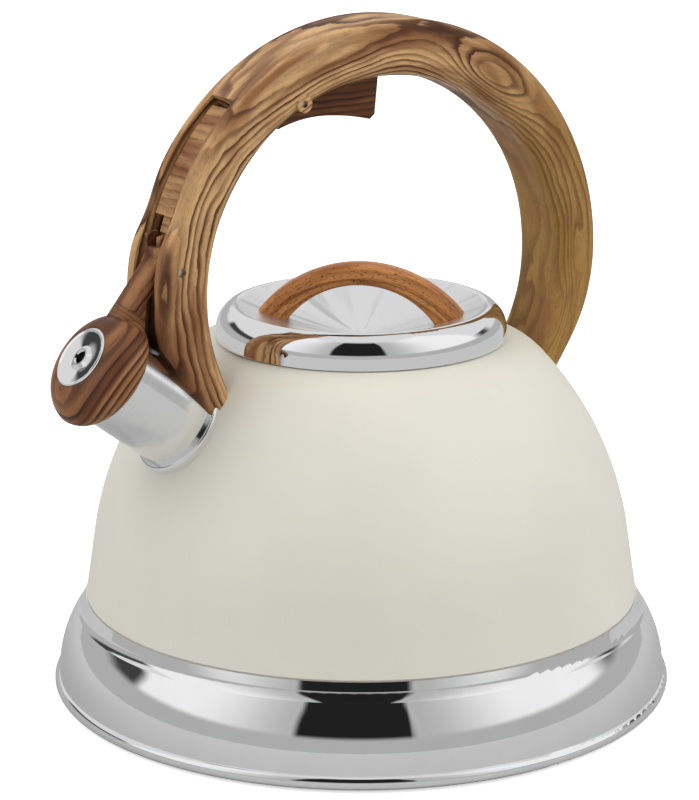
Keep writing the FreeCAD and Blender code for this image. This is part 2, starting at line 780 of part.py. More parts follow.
def station_wire(degrees, inner, outer, half):
    """Rounded section of the handle, in the plane through the arch's axis."""
    r_out, r_in = D["grip_outer_edge"].number, D["grip_inner_edge"].number
    mid = (inner + outer) / 2
    r_out = min(r_out, (outer - inner) * 0.36)
    r_in = min(r_in, (outer - inner) * 0.36)
    bow = math.sqrt(0.5)

    def spot(radius, across):
        a = math.radians(degrees)
        return FreeCAD.Vector(D["grip_centre_x"].number + radius * math.cos(a), across,
                              D["grip_centre_z"].number + radius * math.sin(a))

    edges = []
    for side in (1, -1):
        flat = half * side
        corner_out = [spot(outer, (half - r_out) * side),
                      spot(outer - r_out * (1 - bow), (half - r_out * (1 - bow)) * side),
                      spot(outer - r_out, flat)]
        corner_in = [spot(inner + r_in, flat),
                     spot(inner + r_in * (1 - bow), (half - r_in * (1 - bow)) * side),
                     spot(inner, (half - r_in) * side)]
        run = [Part.Arc(*corner_out).toShape(),
               Part.LineSegment(corner_out[2], corner_in[0]).toShape(),
               Part.Arc(*corner_in).toShape()]
        edges.append((run, corner_out[0], corner_in[2]))
    (left, left_top, left_low), (right, right_top, right_low) = edges
    bottom = Part.LineSegment(left_low, right_low).toShape()
    top = Part.LineSegment(right_top, left_top).toShape()
    return Part.Wire(left + [bottom] + right[::-1] + [top])


def make_handle(envelope):
    """The wood-effect handle: one swept arch, slotted for the rod and pocketed for the trigger."""
    grip = doc.addObject("Part::Feature", "grip_sweep")
    grow = D["grip_radius"].number - STATIONS_RADIUS
    widen = (D["grip_width"].number - STATIONS_WIDTH) / 2
    wires = [station_wire(a, i + grow, o + grow, w + widen) for a, i, o, w in STATIONS]
    grip.Shape = Part.makeLoft(wires, True, False)
    px, pz = on_grip(D["trigger_pin_place"], D["trigger_pin_angle"])
    boss = cross_bar("trigger_boss", D["boss_radius"], D["grip_width"] + 0.6, px, pz)
    whole = fuse("grip_whole", [grip, boss])
    lx, lz = on_grip(D["lever_pin_place"], D["lever_pin_angle"])
    # the tools run well past the handle's faces, from "deep" to "clear"
    deep, clear, through = D["grip_radius"] - 30.3, D["grip_radius"] + 8.7, 40
    front, rear = D["front_screw_angle"], D["rear_screw_angle"]
    seat = D["rear_screw_seat"]
    tools = [
        envelope,
        sector("slot_high", D["slot_floor"], clear, D["slot_width"], D["slot_start"],
               D["slot_step"] + 0.5),
        sector("slot_low", D["slot_low_floor"], clear, D["slot_width"], D["slot_step"],
               D["slot_end"]),
        sector("rod_tunnel", D["slot_floor"] + 0.3, D["pocket_ceiling"] - 0.3, D["tunnel_width"],
               D["tunnel_start"], D["slot_start"] + 1),
        sector("trigger_pocket", deep, D["pocket_ceiling"], D["pocket_width"],
               D["pocket_start"], D["pocket_end"]),
        sector("tail_pocket", deep, D["tail_ceiling"], D["pocket_width"],
               D["pocket_end"] - 0.5, D["tail_end"]),
        sector("rear_pocket", D["rear_tab_place"] - 0.1,
               D["rear_tab_place"] + D["bracket_thickness"] + 0.1, D["bracket_width"] + 0.3,
               D["rear_tab_start"], D["rear_tab_end"] + 0.3),
        cross_bar("lever_pin_hole", D["lever_pin_radius"], through, lx, lz),
        cross_bar("trigger_pin_hole", D["trigger_pin_radius"], through, px, pz),
        spout_bar("spout_room", D["spout_radius"], -6, 60),
        spout_bar("collar_room", D["collar_radius"], -6, D["collar_height"]),
        radial_bar("front_screw_hole", D["screw_radius"], D["screw_hole_start"],
                   D["screw_hole_end"], front),
        radial_bar("rear_screw_hole", D["screw_radius"], D["screw_hole_start"],
                   D["screw_hole_end"], rear),
        radial_bar("rear_screw_room", D["screw_head_radius"] + 0.4, seat, clear, rear),
    ]
    return cut("handle_cut", whole, tools)


def radial_bar(name, radius, start, end, degrees):
    """A round bar that points from the arch's centre outwards."""
    bar = cylinder(name, radius, as_size(end) - start)
    x, z = on_grip(start, degrees)
    return place(bar, x, 0, z, FreeCAD.Rotation(Y_AXIS, 90 - as_size(degrees).number))


def make_handle_screws():
    """Two equal pan-head screws, front and rear, each through a bracket and a leg."""
    seats = (("front", D["slot_low_floor"] + D["bracket_thickness"], D["front_screw_angle"]),
             ("rear", D["rear_screw_seat"], D["rear_screw_angle"]))
    solids = []
    for name, seat, degrees in seats:
        top = seat + D["screw_head_height"]
        shank = radial_bar(name + "_shank", D["screw_radius"], seat - D["screw_length"], seat,
                           degrees)
        head = radial_bar(name + "_head", D["screw_head_radius"], seat, top, degrees)
        solid = fuse(name + "_screw_solid", [shank, head])
        turn = FreeCAD.Rotation(Y_AXIS, 90 - degrees.number)
        x, z = on_grip(top - D["recess_depth"], degrees)
        slots = []
        for number, spin in enumerate((0, 90)):
            slot = doc.addObject("Part::Box", "%s_recess_%d" % (name, number))
            bind(slot, "Length", D["recess_length"])
            bind(slot, "Width", D["recess_width"])
            bind(slot, "Height", D["recess_depth"] + 0.2)
            full = turn.multiply(FreeCAD.Rotation(Z_AXIS, spin))
            corner = FreeCAD.Vector(-D["recess_length"].number / 2,
                                    -D["recess_width"].number / 2, 0)
            shift = full.multVec(corner)
            place(slot, x + shift.x, shift.y, z + shift.z, full)
            slots.append(slot)
        solids.append(cut(name + "_screw_cut", solid, slots))
    return group("handle_screws_group", solids)


def make_front_bracket():
    """Curved steel tab in the slot, welded along the top of the spout tube."""
    floor = D["slot_low_floor"]
    tab = sector("front_tab", floor, floor + D["bracket_thickness"], D["bracket_width"],
                 D["front_tab_start"], D["front_tab_end"])
    x, z = on_spout(13.6, 0)
    foot = doc.addObject("Part::Box", "front_foot")
    foot.Length, foot.Height = 17.5, 7
    bind(foot, "Width", D["bracket_width"])
    place(foot, x, -D["bracket_width"] / 2, z, ALONG_SPOUT)
    whole = fuse("front_bracket_whole", [tab, foot])
    tools = [spout_bar("front_saddle", D["spout_radius"], -6, 60),
             radial_bar("front_bracket_hole", D["screw_radius"], D["screw_hole_start"],
                        D["screw_hole_end"], D["front_screw_angle"])]
    return cut("front_bracket_cut", whole, tools)


def make_rear_bracket(envelope):
    """Curved steel tab in the rear leg, welded to the dome."""
    low = D["rear_tab_place"]
    tab = sector("rear_tab", low, low + D["bracket_thickness"], D["bracket_width"],
                 D["rear_tab_start"], D["rear_tab_end"])
    hole = radial_bar("rear_bracket_hole", D["screw_radius"], D["screw_hole_start"],
                      D["screw_hole_end"], D["rear_screw_angle"])
    return cut("rear_bracket_cut", tab, [envelope, hole])


def make_pin(name, radius, distance, degrees):
    x, z = on_grip(distance, degrees)
    return cross_bar(name + "_bar", radius, D["pin_length"], x, z)


# ---------------------------------------------------------------- trigger and rod

def make_trigger():
    """Finger trigger: a curved paddle below the grip, with a horn above its pin."""
    px, pz = on_grip(D["trigger_pin_place"], D["trigger_pin_angle"])
    body = new_body("trigger_blank")
    sketch = draw(body, "trigger_outline", (px - 7.0, pz - 8.6), [
        ((px + 14.0, pz - 6.0), 48, 1),
        ((px + 29.8, pz - 8.7), 90, 1),
        ((px + 31.4, pz - 7.2), 2.2, 1),
        ((px + 33.0, pz + 7.8),),
        ((px + 12.0, pz + 7.8),),
        ((px + 2.6, pz + 3.4), 14, 1),
        ((px - 3.2, pz + 2.4), 4.0, -1),
        ((px - 7.8, pz - 7.4),),
        ((px - 7.0, pz - 8.6),),
    ])
    padded = pad(body, sketch, D["trigger_width"], "trigger_pad")
    round_edges(body, padded, 1.0, lambda edge: runs_along_paddle(edge, pz.number),
                "trigger_rounded")
    reach = D["trigger_pin_place"]
    horn = sector("horn_bar", reach + 1.0, reach + D["horn_length"] + 1.1, D["horn_width"],
                  horn_start(), horn_end())
    whole = fuse("trigger_whole", [body, horn])
    bore = cross_bar("trigger_bore", D["trigger_pin_radius"] + D["pin_play"], 40, px, pz)
    return cut("trigger_cut", whole, [bore])


def runs_along_paddle(edge, pin_height):
    """True for the lengthwise edges on the underside of the paddle."""
    box = edge.BoundBox
    return box.YLength < 0.01 and box.XLength > 12 and box.ZMax < pin_height


def horn_start():
    return D["trigger_pin_angle"].number - half_horn()


def horn_end():
    return D["trigger_pin_angle"].number + half_horn()


def half_horn():
    """Half of the horn's thickness, as an angle at the handle's centre."""
    reach = D["trigger_pin_place"].number + D["horn_length"].number
    return math.degrees(D["horn_thickness"].number / 2 / reach)


def gap_angle():
    """The running gap at the rod's two ends, as an angle at the handle's centre."""
    reach = D["trigger_pin_place"].number + D["horn_length"].number
    return math.degrees(D["contact_gap"].number / reach)


def lug_place():
    """Centre of the lever's cross-bar, inboard of the lever pin and a little above it."""
    px, pz = on_grip(D["lever_pin_place"], D["lever_pin_angle"])
    return px + D["lug_reach"], pz + 0.8


def finger_end():
    """Where the rod's finger stops above the lever's cross-bar, in degrees."""
    x, z = lug_place()
    run, rise = x.number - D["grip_centre_x"].number, z.number - D["grip_centre_z"].number
    reach = math.hypot(run, rise)
    clear = math.degrees((D["lug_radius"].number + D["contact_gap"].number) / reach)
    return math.degrees(math.atan2(rise, run)) - clear


def make_push_rod():
    """Curved rod that slides in the handle and carries the squeeze to the whistle cap."""
    floor, width = D["rod_floor"], D["rod_width"]
    step, end, neck_end = D["rod_step"], D["rod_end"], D["rod_neck_end"]
    lap = 0.4
    thick = sector("rod_thick", floor, D["rod_top"], width, step, end)
    thin = sector("rod_thin", floor, D["rod_thin_top"], width, horn_end() + gap_angle(),
                  step + lap)
    neck = sector("rod_neck", floor, D["rod_top"] - 1.6, D["finger_width"], end - lap, neck_end)
    wedge = sector("rod_wedge", floor, floor + 2.0, D["finger_width"], neck_end - lap,
                   finger_end())
    return fuse("push_rod_whole", [thick, thin, neck, wedge])


def make_return_spring():
    """Coil spring between the trigger's top and the roof of its pocket."""
    px, pz = on_grip(D["trigger_pin_place"], D["trigger_pin_angle"])
    x = px + 24.0
    low = pz + 7.8
    run = x - D["grip_centre_x"] + D["spring_radius"]
    roof = D["grip_centre_z"] + root(D["pocket_ceiling"] * D["pocket_ceiling"] - run * run)
    wire, turns = D["spring_wire"].number, D["spring_turns"].number
    length = roof.number - low.number - 2 * wire - 0.3
    path = Part.makeHelix(length / turns, length, D["spring_radius"].number - wire)
    start = FreeCAD.Vector(D["spring_radius"].number - wire, 0, 0)
    ring = Part.Wire([Part.makeCircle(wire, start, Y_AXIS)])
    spring = doc.addObject("Part::Feature", "return_spring_coil")
    spring.Shape = Part.Wire(path).makePipeShell([ring], True, False)
    place(spring, x, 0, low + wire + 0.15)
    doc.recompute()
    return spring


# ---------------------------------------------------------------- whistle cap

def make_cap_lever():
    """Whistle cap: a flattened ball on a forked arm, hollow for the whistle and its seal."""
    px, pz = on_grip(D["lever_pin_place"], D["lever_pin_angle"])
    ball = turned_body("cap_ball", (0, D["cap_rim"]), [
        ((D["cap_rim_radius"], D["cap_rim"]),),
        ((D["cap_radius"], D["cap_bulge_place"]), 7.0, -1),
        ((D["disc_radius"] + 0.9, D["cap_front"]), 11.5, -1),
        ((0, D["cap_front"]),),
        ((0, D["cap_rim"]),),
    ])
    place(ball, seat_x, 0, seat_z, ALONG_SPOUT)
    arm_front = on_spout(D["cap_front"] - 2.4, D["cap_radius"] - 4.5)
    arm_back = on_spout(D["cap_rim"] + 0.5, D["cap_rim_radius"] + 0.3)
    arm_root = on_spout(D["cap_bulge_place"], D["cap_radius"] - 8)
    arm = new_body("cap_arm")
    outline = draw(arm, "arm_outline", (px - 4.0, pz + 3.4), [
        (arm_front,),
        (arm_root,),
        (arm_back,),
        ((px - 8.9, pz - 9.6),),
        ((px - 3.0, pz - 5.0),),
        ((px + 1.5, pz - 3.6),),
        ((px - 4.0, pz + 3.4),),
    ])
    padded = pad(arm, outline, D["lever_width"], "arm_pad")
    round_edges(arm, padded, 1.8, lambda edge: is_side_edge(edge, 15), "arm_rounded")
    hub = cross_bar("lever_hub", 4.4, D["lever_width"] + 2.4, px, pz)
    fork = new_body("cap_fork")
    tall = D["fork_height"]
    prongs = draw(fork, "fork_outline", (px - 3.9, pz + 2.0), [
        ((px - 3.4, pz + tall - 0.8),),
        ((px + 0.4, pz + tall),),
        ((px + 2.6, pz + 9.0),),
        ((px + 5.6, pz + 3.0),),
        ((px + 6.4, pz - 0.4),),
        ((px + 2.0, pz - 3.6),),
        ((px - 3.9, pz + 2.0),),
    ])
    fork_pad = pad(fork, prongs, D["lever_width"], "fork_pad")
    round_edges(fork, fork_pad, 0.8, lambda edge: is_side_edge(edge, 3), "fork_rounded")
    gap_tools = []
    for number, (left, low) in enumerate(((px - 1.5, pz - 1.2), (px - 8, pz + 6.8))):
        gap_tool = doc.addObject("Part::Box", "fork_gap_%d" % number)
        gap_tool.Length, gap_tool.Height = 16, 16
        bind(gap_tool, "Width", D["fork_gap"])
        gap_tools.append(place(gap_tool, left, -D["fork_gap"] / 2, low))
    forked = cut("fork_cut", fork, gap_tools)
    lx, lz = lug_place()
    lug = cross_bar("lever_lug", D["lug_radius"], D["lever_width"] - 0.6, lx, lz)
    hollow = spout_bar("cap_room", D["spout_radius"] + D["cap_play"], D["cap_rim"] - 10,
                       D["spout_length"] + D["seal_gap"] + D["seal_thickness"])
    chamber = spout_bar("whistle_room", D["disc_radius"] - 0.9, D["cap_rim"], D["cap_front"] + 5)
    seat = spout_bar("disc_seat", D["disc_radius"], D["cap_front"] - 0.9, D["cap_front"] + 5)
    bore = cross_bar("lever_bore", D["lever_pin_radius"] + D["pin_play"], 40, px, pz)
    solid = fuse("cap_lever_whole", [ball, arm, hub, forked, lug])
    return cut("cap_lever_cut", solid, [hollow, chamber, seat, bore])


def is_side_edge(edge, shortest):
    """True for the outline edges on the two flat sides of a padded piece."""
    box = edge.BoundBox
    return box.YLength < 0.01 and edge.Length > shortest


def make_whistle_disc():
    """Polished dished front disc with a raised ring round its steam hole."""
    t = D["disc_thickness"]
    back = D["cap_front"] - 0.9
    rim, hole = D["disc_radius"], 2.2
    disc = turned_body("whistle_disc_body", (hole, back), [
        ((rim, back),),
        ((rim, back + t + 0.5),),
        ((rim - 0.6, back + t + 0.9), 0.6, 1),
        ((rim - 1.4, back + t + 0.6),),
        ((hole + 2.4, back + t), 40, -1),
        ((hole + 1.0, back + t + 0.9),),
        ((hole + 0.4, back + t + 0.9),),
        ((hole, back + t + 0.4),),
        ((hole, back),),
    ])
    return place(disc, seat_x, 0, seat_z, ALONG_SPOUT)


def make_whistle_cup():
    """Thin cup behind the disc, whose flange holds the seal."""
    t = 0.6
    wall = D["disc_radius"] - 0.9
    low = D["spout_length"] + D["seal_gap"] + D["seal_thickness"]
    high = D["cap_front"] - 0.9
    cup = turned_body("whistle_cup_body", (wall - t, low - 0.9), [
        ((wall + 0.4, low - 0.9),),
        ((wall + 0.4, low - 0.3),),
        ((wall, low - 0.3),),
        ((wall, high),),
        ((wall - t, high),),
        ((wall - t, low - 0.9),),
    ])
    return place(cup, seat_x, 0, seat_z, ALONG_SPOUT)


def make_whistle_plate():
    """Inner plate of the whistle, pressed into the cup behind the front disc."""
    radius = D["disc_radius"] - 0.9 - 0.6
    low = D["cap_front"] - 0.9 - 3.0
    plate = turned_body("whistle_plate_body", (1.6, low), [
        ((radius, low),),
        ((radius, low + 0.6),),
        ((1.6, low + 0.6),),
        ((1.6, low),),
    ])
    return place(plate, seat_x, 0, seat_z, ALONG_SPOUT)


def make_cap_seal():
    """Silicone ring that the spout's mouth closes on."""
    inner = D["disc_radius"] - 0.9 + 0.4
    outer = D["spout_radius"] + D["cap_play"]
    low = D["spout_length"] + D["seal_gap"]
    seal = turned_body("cap_seal_body", (inner, low), [
        ((outer, low),),
        ((outer, low + D["seal_thickness"]),),
        ((inner, low + D["seal_thickness"]),),
        ((inner, low),),
    ])
    return place(seal, seat_x, 0, seat_z, ALONG_SPOUT)


# ---------------------------------------------------------------- the whole kettle

def make_all():
    envelope = make_dome_envelope()
    cover_tool, dish_tool = make_cover_tool(), make_dish_tool()
    shanks, lid_screws, lid_washers = make_lid_screws()
    cover = cut("lid_cover_cut", make_lid_cover(), shanks)
    lever_pin = make_pin("lever_pin", D["lever_pin_radius"], D["lever_pin_place"],
                         D["lever_pin_angle"])
    trigger_pin = make_pin("trigger_pin", D["trigger_pin_radius"], D["trigger_pin_place"],
                           D["trigger_pin_angle"])
    return {
        "base_skirt": make_base_skirt(), "floor_pan": make_floor_pan(),
        "heat_spreader": make_heat_spreader(), "base_plate": make_base_plate(),
        "dome_shell": make_dome(), "spout_tube": make_spout(),
        "spout_collar": make_spout_collar(envelope),
        "front_bracket": make_front_bracket(), "rear_bracket": make_rear_bracket(envelope),
        "handle_screws": make_handle_screws(), "handle": make_handle(envelope),
        "lever_pin": lever_pin, "trigger_pin": trigger_pin,
        "return_spring": make_return_spring(),
        "trigger": make_trigger(), "push_rod": make_push_rod(),
        "cap_lever": make_cap_lever(), "whistle_disc": make_whistle_disc(),
        "whistle_cup": make_whistle_cup(), "whistle_plate": make_whistle_plate(),
        "cap_seal": make_cap_seal(),
        "lid_cover": cover, "lid_plug": make_lid_plug(cover_tool),
        "lid_handle": make_lid_handle(dish_tool, shanks), "lid_screws": lid_screws,
        "lid_washers": lid_washers,
    }


def check_and_write(pieces):
    """Name each sub-part, test every object, then write one STEP file for each."""
    for name, item in pieces.items():
        item.Label = name
    doc.recompute()
    for item in doc.Objects:
        if "Invalid" in item.State or "Error" in item.State:
            raise RuntimeError("%s failed to build: %s" % (item.Label, item.State))
    for name, item in pieces.items():
        if item.Shape.isNull() or not item.Shape.isValid() or not item.Shape.Solids:
            raise RuntimeError("%s has no valid solid" % name)
    os.makedirs("parts", exist_ok=True)
    for name, item in pieces.items():
        item.Shape.exportStep("parts/%s.step" % name)
        print("%-15s solids %d  volume %9.1f" % (name, len(item.Shape.Solids), item.Shape.Volume))


check_and_write(make_all())
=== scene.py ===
"""Finishes and studio for a stovetop whistling kettle, laid out as an add-on."""

import json
import math
from typing import NamedTuple

import bpy
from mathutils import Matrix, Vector


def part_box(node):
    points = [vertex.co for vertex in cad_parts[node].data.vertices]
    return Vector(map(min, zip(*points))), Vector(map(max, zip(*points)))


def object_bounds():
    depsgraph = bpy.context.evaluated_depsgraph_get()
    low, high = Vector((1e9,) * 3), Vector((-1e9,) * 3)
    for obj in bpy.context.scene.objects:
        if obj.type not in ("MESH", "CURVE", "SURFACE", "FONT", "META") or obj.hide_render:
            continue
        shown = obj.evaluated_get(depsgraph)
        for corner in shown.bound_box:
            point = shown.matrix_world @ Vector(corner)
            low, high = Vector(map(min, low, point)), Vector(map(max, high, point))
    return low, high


bl_info = {
    "name": "Whistling kettle finishes",
    "version": (1, 0, 0),
    "blender": (4, 5, 0),
    "location": "3D View > Sidebar > Kettle",
    "description": "Gives each part of a stovetop kettle its finish and sets a studio round it",
    "category": "Material",
}

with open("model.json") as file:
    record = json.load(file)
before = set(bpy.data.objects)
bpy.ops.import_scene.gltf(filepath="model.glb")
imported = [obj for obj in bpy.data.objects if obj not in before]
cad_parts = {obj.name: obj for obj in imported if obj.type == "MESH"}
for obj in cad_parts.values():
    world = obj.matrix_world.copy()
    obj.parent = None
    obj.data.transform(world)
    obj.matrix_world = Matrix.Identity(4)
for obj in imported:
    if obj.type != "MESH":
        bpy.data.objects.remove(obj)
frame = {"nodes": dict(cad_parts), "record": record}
bpy.context.view_layer.update()
CAD_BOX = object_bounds()

PER_METRE = 1000.0  # the shaders work in millimetres
GRIP_HALF_DEPTH = 12.0  # from the grip's middle line out to its top, in mm
FILM_SPECULAR = 0.22  # the films shine less than bare lacquer
REAR_LEG = (0.35, 1.15)  # where the handle turns olive, in radians from the arch's top
FRONT_FOOT = (-1.75, -1.35)  # where it stops being rust-coloured, in the same radians
DISH_EDGE = (0.835, 0.86)  # where the lid's spun dish ends, as shares of the lid's radius
MIX_FACTOR, MIX_FIRST, MIX_SECOND, MIX_RESULT = 0, 6, 7, 2  # colour sockets of a Mix node


# ---------------------------------------------------------------- places


def joint_place(name):
    """Where a joint's axis passes, in millimetres."""
    for joint in frame["record"]["behaviour"]["joints"]:
        if joint["name"] == name:
            return Vector(joint["pos_m"]) * PER_METRE
    raise ValueError(f"the record has no joint {name}")


def middle(node):
    """The middle of a node's box, in millimetres."""
    low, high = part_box(node)
    return (low + high) * PER_METRE / 2


def top(node):
    """The height of a node's highest point, in millimetres."""
    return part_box(node)[1].z * PER_METRE


def grip_arch():
    """The centre, as x and z, and the radius of the grip's middle line, in millimetres."""
    hub = joint_place("push_rod_travel")
    return (hub.x, hub.z), top("handle") - hub.z - GRIP_HALF_DEPTH


def shaded(tint, factor):
    """A colour made darker or lighter."""
    return [value * factor for value in tint]


# ---------------------------------------------------------------- settings


def colour(name, default, description):
    return bpy.props.FloatVectorProperty(
        name=name, description=description, default=default,
        subtype="COLOR", size=3, min=0.0, max=1.0)


def share(name, default, description):
    return bpy.props.FloatProperty(
        name=name, description=description, default=default,
        subtype="FACTOR", min=0.0, max=1.0)


def number(name, default, description):
    return bpy.props.FloatProperty(
        name=name, description=description, default=default, min=0.0)


def degrees(name, default, description):
    return bpy.props.FloatProperty(
        name=name, description=description, default=math.radians(default),
        subtype="ANGLE", unit="ROTATION")


def metres(name, default, description):
    return bpy.props.FloatProperty(
        name=name, description=description, default=default,
        subtype="DISTANCE", unit="LENGTH")


class KettleMetal(bpy.types.PropertyGroup):
    """Steel, aluminium and silicone."""

    mirror_colour: colour("Mirror steel", (0.89, 0.89, 0.9), "Skirt, lid, collar and disc")
    mirror_roughness: share("Mirror roughness", 0.025, "Blur of the polished steel")
    mirror_wave: number("Mirror waviness", 0.012, "Height of the pressing waves, in mm")
    dish_roughness: share("Dish roughness", 0.27, "Blur of the spun dish of the lid")
    brushed_colour: colour("Brushed steel", (0.9, 0.9, 0.9), "Satin spout")
    brushed_roughness: share("Brushed roughness", 0.12, "Blur of the satin spout")
    plain_colour: colour("Plain steel", (0.6, 0.6, 0.61), "Brackets, pins and inside")
    plain_roughness: share("Plain roughness", 0.3, "Blur of the rolled steel")
    cast_colour: colour("Aluminium", (0.72, 0.72, 0.74), "Disc in the base")
    cast_shade: colour("Aluminium shade", (0.6, 0.6, 0.62), "Darker grain of the disc")
    silicone_colour: colour("Silicone", (0.028, 0.028, 0.031), "Seal and lid washers")


class KettlePaint(bpy.types.PropertyGroup):
    """The painted dome."""

    cream: colour("Cream", (0.79, 0.77, 0.67), "Paint of the dome")
    roughness: share("Roughness", 0.46, "Blur of the satin paint")
    peel: number("Orange peel", 0.004, "Height of the paint's ripple, in mm")


class KettleGripWood(bpy.types.PropertyGroup):
    """Wood-effect film of the handle and the push rod."""

    light: colour("Light", (0.7, 0.42, 0.19), "Sapwood between the lines")
    tone: colour("Tone", (0.31, 0.13, 0.047), "Broad darker streaks")
    line: colour("Line", (0.075, 0.022, 0.007), "Narrow grain lines")
    olive: colour("Olive", (0.37, 0.2, 0.045), "The smoother rear leg")
    rose: colour("Rose", (0.3, 0.12, 0.05), "Pinkish-brown patches")
    rust: colour("Rust", (0.2, 0.065, 0.018), "The front foot")
    spacing: number("Line spacing", 2.6, "Distance between grain lines, in mm")
    roughness: share("Roughness", 0.42, "Blur of the film")


class KettleTriggerWood(bpy.types.PropertyGroup):
    """Wood-effect film of the trigger."""

    light: colour("Light", (0.2, 0.07, 0.018), "Between the lines")
    tone: colour("Tone", (0.1, 0.03, 0.008), "Broad darker streaks")
    line: colour("Line", (0.03, 0.008, 0.003), "Narrow grain lines")
    spacing: number("Line spacing", 2.3, "Distance between grain lines, in mm")
    roughness: share("Roughness", 0.42, "Blur of the film")


class KettleCapWood(bpy.types.PropertyGroup):
    """Wood-effect film of the whistle cap and its lever."""

    light: colour("Light", (0.38, 0.17, 0.065), "Between the lines")
    tone: colour("Tone", (0.15, 0.05, 0.02), "Broad darker streaks")
    line: colour("Line", (0.035, 0.01, 0.004), "Narrow grain lines")
    spacing: number("Line spacing", 2.3, "Distance between grain lines, in mm")
    roughness: share("Roughness", 0.4, "Blur of the film")


class KettleArchWood(bpy.types.PropertyGroup):
    """Wood-effect film of the lid's arch."""

    light: colour("Light", (0.72, 0.31, 0.1), "Between the flecks")
    tone: colour("Tone", (0.4, 0.14, 0.04), "Broad darker streaks")
    line: colour("Line", (0.08, 0.02, 0.006), "Flecks and short lines")
    spacing: number("Line spacing", 2.2, "Distance between grain lines, in mm")
    roughness: share("Roughness", 0.42, "Blur of the film")


class KettleStudio(bpy.types.PropertyGroup):
    """Floor, light and camera."""

    panel: number("Panels", 2.35, "Strength of the two tall soft panels")
    seen: number("Panels seen", 0.95, "Strength of the panels in the polished steel")
    room: number("Room", 0.76, "Strength of the pale room behind the kettle")
    ceiling: number("Ceiling", 0.75, "Strength of the light overhead")
    sweep: number("Sweep", 0.46, "Strength of the grey sweep round the floor")
    sweep_top: number("Sweep top", 13.5, "Height of the sweep's edge, in degrees")
    dark: number("Gap", 0.015, "Strength of the dark gap between the panels")
    floor: share("Floor", 0.55, "Grey that the polished steel sees below")
    glow: number("Floor glow", 0.6, "Strength that keeps the seen floor white")
    azimuth: degrees("Azimuth", -34.5, "Turn of the camera round the kettle")
    elevation: degrees("Elevation", 15.49, "Height of the camera above the horizon")
    distance: metres("Distance", 1.01791, "From the camera to its aim")
    aim: metres("Aim height", 0.10263, "Height of the camera's aim above the floor")
    lens: number("Lens", 130.0, "Focal length, in mm")
    shift: bpy.props.FloatProperty(
        name="Shift", description="Sideways shift of the frame", default=-0.0146)


# ---------------------------------------------------------------- shader maths


class Wire:
    """A value on its way through a shader. Arithmetic on it adds Math nodes."""

    def __init__(self, shader, socket):
        self.shader = shader
        self.socket = socket

    def __add__(self, other):
        return self.shader.maths("ADD", self, other)

    __radd__ = __add__

    def __sub__(self, other):
        return self.shader.maths("SUBTRACT", self, other)

    def __rsub__(self, other):
        return self.shader.maths("SUBTRACT", other, self)

    def __mul__(self, other):
        return self.shader.maths("MULTIPLY", self, other)

    __rmul__ = __mul__

    def __truediv__(self, other):
        return self.shader.maths("DIVIDE", self, other)

    def output(self, name):
        """Another output of the same node."""
        return Wire(self.shader, self.socket.node.outputs[name])


class Shader:
    """Adds nodes to one node tree."""

    def __init__(self, tree):
        self.tree = tree

    def node(self, kind, settings=None, sockets=None, output=0):
        """Any node: its settings first, then a value or a link for each socket."""
        made = self.tree.nodes.new(kind)
        for name, value in (settings or {}).items():
            setattr(made, name, value)
        for name, value in (sockets or {}).items():
            if isinstance(value, Wire):
                self.tree.links.new(value.socket, made.inputs[name])
            else:
                made.inputs[name].default_value = value
        return Wire(self, made.outputs[output])

    def end(self, kind, surface):
        """Adds the tree's output node and feeds it with a shader."""
        output = self.tree.nodes.new(kind)
        self.tree.links.new(surface.socket, output.inputs["Surface"])

    def maths(self, operation, *values):
        return self.node("ShaderNodeMath", {"operation": operation}, dict(enumerate(values)))

    def vector(self, x, y, z):
        return self.node("ShaderNodeCombineXYZ", None, {"X": x, "Y": y, "Z": z})

    def place(self):
        """The point being shaded, in millimetres in the kettle's frame."""
        coordinates = self.node("ShaderNodeTexCoord", output="Object")
        scaled = self.node("ShaderNodeVectorMath", {"operation": "SCALE"},
                           {"Vector": coordinates, "Scale": PER_METRE})
        x = self.node("ShaderNodeSeparateXYZ", None, {"Vector": scaled}, "X")
        return x, x.output("Y"), x.output("Z")

    def noise(self, x, y, z, detail=2.0):
        return self.node("ShaderNodeTexNoise", None, {
            "Vector": self.vector(x, y, z), "Scale": 1.0, "Detail": detail})

    def cloud(self, point, size, detail=2.0):
        """Noise with patches of one size, in millimetres, the same in every direction."""
        x, y, z = point
        return self.noise(x / size, y / size, z / size, detail)

    def stretched(self, grain, long, wide, detail=2.0):
        """Noise with patches drawn out along the grain, in millimetres."""
        along, across, depth = grain
        return self.noise(along / long, across / wide, depth / wide, detail)

    def between(self, value, low, high, start=0.0, end=1.0):
        """Runs smoothly from start to end as value goes from low to high."""
        return self.node("ShaderNodeMapRange", {"interpolation_type": "SMOOTHSTEP"}, {
            "Value": value, "From Min": low, "From Max": high,
            "To Min": start, "To Max": end})

    def bell(self, value, centre, width):
        """One at the centre, falling to nothing far from it."""
        away = (value - centre) / width
        return self.maths("EXPONENT", away * away * -1.0)

    def length(self, *values):
        """The length of a vector with these parts."""
        total = values[0] * values[0]
        for value in values[1:]:
            total = total + value * value
        return self.maths("SQRT", total)

    def mix(self, factor, first, second, blend="MIX"):
        """Blends two colours, each given as three numbers or as a wire."""
        def whole(value):
            return value if isinstance(value, Wire) else (*value, 1.0)
        return self.node(
            "ShaderNodeMix", {"data_type": "RGBA", "blend_type": blend},
            {MIX_FACTOR: factor, MIX_FIRST: whole(first), MIX_SECOND: whole(second)},
            MIX_RESULT)


